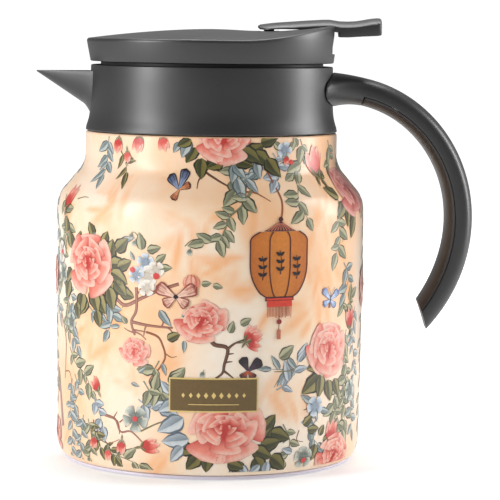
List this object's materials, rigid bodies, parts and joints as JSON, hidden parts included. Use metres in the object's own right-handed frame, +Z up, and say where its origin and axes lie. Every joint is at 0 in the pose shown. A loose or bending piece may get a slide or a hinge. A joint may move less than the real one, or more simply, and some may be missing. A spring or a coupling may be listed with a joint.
{
  "type": "insulated tea jug",
  "caption": "Double-walled steel tea jug with a printed body, black collar and beak, open handle, thumb-lever lid with a pouring valve, and a hanging strainer.",
  "frame": {"origin": "centre of the flat underside, on the jug's own axis", "axes": "+Z up along the jug's axis, -X towards the beak, +X towards the handle and the lever's pad, Y across"},
  "size_m": [0.1708, 0.12, 0.1728],
  "materials": {
    "printed_enamel": "glossy printed enamel, peach and cream with flowers",
    "stainless_steel": "satin",
    "getter_metal": "dull",
    "pale_plastic": "satin",
    "grey_rubber": "matt",
    "black_plastic": "fine satin grain",
    "dark_plastic": "satin",
    "sleeve_plastic": "satin",
    "silicone": "matt translucent",
    "white_foam": "fine foam"
  },
  "bodies": {
    "jug": {"outer_shell": "printed_enamel", "inner_liner": "stainless_steel", "vacuum_base": "stainless_steel", "getter": "getter_metal", "base_cover": "pale_plastic", "base_pad": "grey_rubber", "collar": "black_plastic", "collar_sleeve": "sleeve_plastic", "neck_gasket": "silicone", "handle_shell": "black_plastic", "handle_strip": "black_plastic", "handle_screw_near": "stainless_steel", "handle_screw_far": "stainless_steel"},
    "lid": {"lid_cover": "black_plastic", "lid_base": "dark_plastic", "lid_foam": "white_foam", "lid_screw_1": "stainless_steel", "lid_screw_2": "stainless_steel", "lid_screw_3": "stainless_steel", "lever_pin": "stainless_steel", "stem_bush": "silicone", "plug_body": "dark_plastic", "plug_bottom": "dark_plastic", "upper_seal": "silicone", "lower_seal": "silicone", "valve_spring": "stainless_steel"},
    "lever": {"lever": "black_plastic"},
    "valve": {"valve_stem": "stainless_steel", "valve_disc": "silicone", "stem_clip": "stainless_steel"},
    "strainer": {"strainer_rim": "dark_plastic", "strainer_basket": "stainless_steel"}
  },
  "joints": [
    {"name": "lid_lift", "type": "slide", "parent": "jug", "child": "lid", "axis": [0, 0, 1], "range_m": [0, 0.115]},
    {"name": "lever_press", "type": "hinge", "parent": "lid", "child": "lever", "pos_m": [0.022, 0, 0.1623], "axis": [0, 1, 0], "range_deg": [0, 6], "stiffness_Nm_per_rad": 0.12, "springref_deg": -10.31},
    {"name": "valve_lift", "type": "slide", "parent": "lid", "child": "valve", "axis": [0, 0, 1], "range_m": [0, 0.0024], "deforming": ["valve_spring"]},
    {"name": "strainer_drop", "type": "slide", "parent": "lid", "child": "strainer", "axis": [0, 0, -1], "range_m": [0, 0.022]}
  ],
  "couplings": [
    {"joint": "valve_lift", "follows": "lever_press", "m_per_rad": 0.022}
  ]
}
